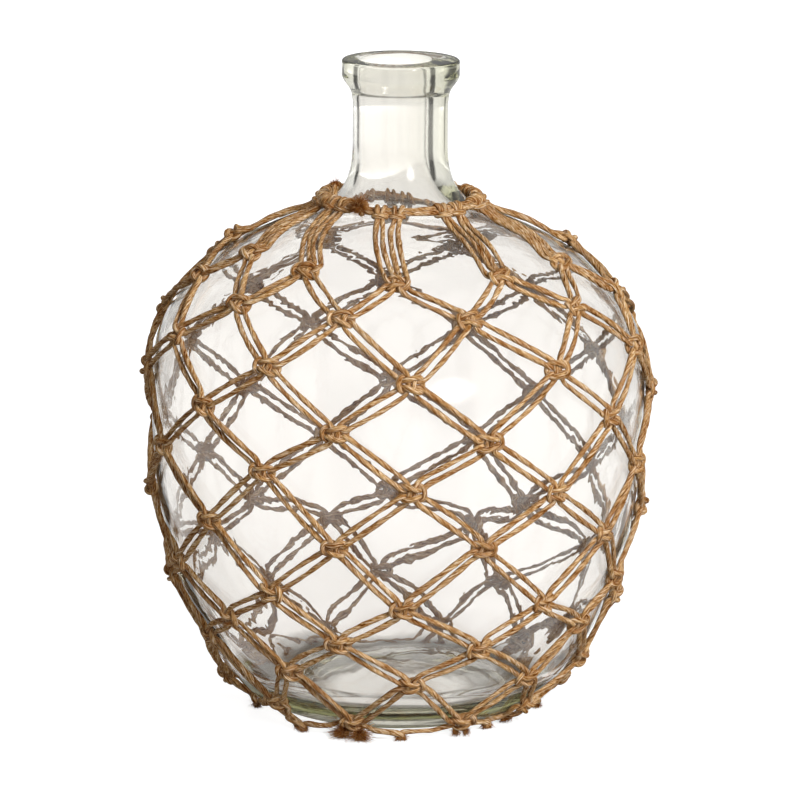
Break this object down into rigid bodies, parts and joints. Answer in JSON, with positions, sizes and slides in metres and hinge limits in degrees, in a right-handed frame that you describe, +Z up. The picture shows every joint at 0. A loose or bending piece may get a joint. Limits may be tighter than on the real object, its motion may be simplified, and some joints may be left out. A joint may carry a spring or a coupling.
{
  "type": "demijohn",
  "caption": "Wide round-bellied clear glass demijohn with a short neck and open mouth, wrapped in a knotted jute net that hangs from a cord round the neck.",
  "frame": {"origin": "centre of the foot, on the surface that the bottle stands on", "axes": "+Z up along the bottle's axis, towards the mouth; -Y towards the pictured side, +X to its right"},
  "size_m": [0.3308, 0.3314, 0.415],
  "materials": {
    "clear_glass": "clear, slightly wavy blown glass",
    "jute": "rough twisted natural twine"
  },
  "bodies": {
    "root": {"bottle": "clear_glass", "neck_ring_cord": "jute", "net_cord_01": "jute", "net_cord_02": "jute", "net_cord_03": "jute", "net_cord_04": "jute", "net_cord_05": "jute", "net_cord_06": "jute", "net_cord_07": "jute", "net_cord_08": "jute", "net_cord_09": "jute", "net_cord_10": "jute", "net_cord_11": "jute", "net_cord_12": "jute", "net_cord_13": "jute", "net_cord_14": "jute", "net_cord_15": "jute", "net_cord_16": "jute", "net_cord_17": "jute", "net_cord_18": "jute", "net_cord_19": "jute", "net_cord_20": "jute"}
  },
  "joints": []
}
